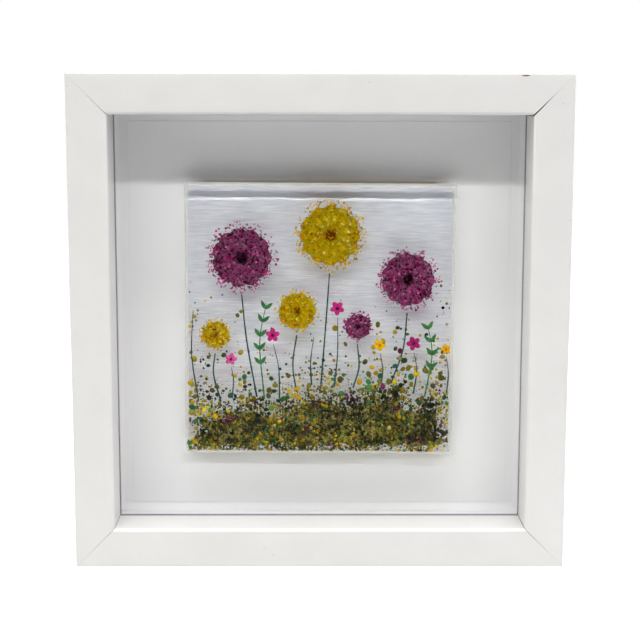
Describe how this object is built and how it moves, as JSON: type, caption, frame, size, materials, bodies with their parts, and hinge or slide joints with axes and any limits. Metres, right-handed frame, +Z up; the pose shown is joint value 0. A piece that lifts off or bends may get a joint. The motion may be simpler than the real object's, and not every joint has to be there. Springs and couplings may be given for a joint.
{
  "type": "box frame with fused glass panel",
  "caption": "Deep square white box frame with a recessed cover glass, holding a square panel of clear fused glass with a meadow of coloured glass grains off a white card.",
  "frame": {"origin": "middle of the footprint, on the surface the frame stands on", "axes": "+Z up, the picture faces -Y, +X to the viewer's right"},
  "size_m": [0.25, 0.06, 0.25],
  "materials": {
    "white_foil": "satin white foil over fibreboard",
    "cover_glass": "clear float glass",
    "white_liner": "white lined board",
    "white_card": "smooth white card",
    "hardboard": "brown hardboard, white on the front",
    "zinc_steel": "zinc-plated sheet steel",
    "white_foam": "white foam pad",
    "fused_clear_glass": "clear fused glass with fire-polished edges",
    "glass_grain_yellow": "glossy fused glass grains, bright yellow",
    "glass_grain_magenta": "glossy fused glass grains, magenta",
    "glass_grain_mixed": "glossy fused glass grains, mixed green, amber and plum",
    "glass_thread_teal": "fused dark teal glass threads",
    "glass_thread_green": "fused leaf-green glass threads"
  },
  "bodies": {
    "root": {"frame_rail_top": "white_foil", "frame_rail_bottom": "white_foil", "frame_rail_left": "white_foil", "frame_rail_right": "white_foil", "cover_glass": "cover_glass", "spacer_top": "white_liner", "spacer_bottom": "white_liner", "spacer_left": "white_liner", "spacer_right": "white_liner", "mount_card": "white_card", "backing_board": "hardboard", "flex_tab_1": "zinc_steel", "flex_tab_2": "zinc_steel", "flex_tab_3": "zinc_steel", "flex_tab_4": "zinc_steel", "flex_tab_5": "zinc_steel", "flex_tab_6": "zinc_steel", "flex_tab_7": "zinc_steel", "flex_tab_8": "zinc_steel", "sawtooth_hanger": "zinc_steel", "hanger_rivet_left": "zinc_steel", "hanger_rivet_right": "zinc_steel", "panel_pad_1": "white_foam", "panel_pad_2": "white_foam", "panel_pad_3": "white_foam", "panel_pad_4": "white_foam", "fused_glass_panel": "fused_clear_glass", "bloom_magenta_left": "glass_grain_magenta", "bloom_yellow_top": "glass_grain_yellow", "bloom_magenta_right": "glass_grain_magenta", "bloom_yellow_middle": "glass_grain_yellow", "bloom_magenta_small": "glass_grain_magenta", "bloom_yellow_small": "glass_grain_yellow", "blossom_magenta_1": "glass_grain_magenta", "blossom_yellow_1": "glass_grain_yellow", "blossom_magenta_2": "glass_grain_magenta", "blossom_magenta_3": "glass_grain_magenta", "blossom_yellow_2": "glass_grain_yellow", "blossom_magenta_4": "glass_grain_magenta", "stem_1": "glass_thread_teal", "stem_2": "glass_thread_teal", "stem_3": "glass_thread_teal", "stem_4": "glass_thread_teal", "stem_5": "glass_thread_teal", "stem_6": "glass_thread_teal", "grass_1": "glass_thread_teal", "grass_2": "glass_thread_teal", "grass_3": "glass_thread_teal", "grass_4": "glass_thread_teal", "grass_5": "glass_thread_teal", "grass_6": "glass_thread_teal", "grass_7": "glass_thread_teal", "grass_8": "glass_thread_teal", "sprig_left": "glass_thread_green", "sprig_right": "glass_thread_green", "meadow_bank": "glass_grain_mixed"}
  },
  "joints": []
}
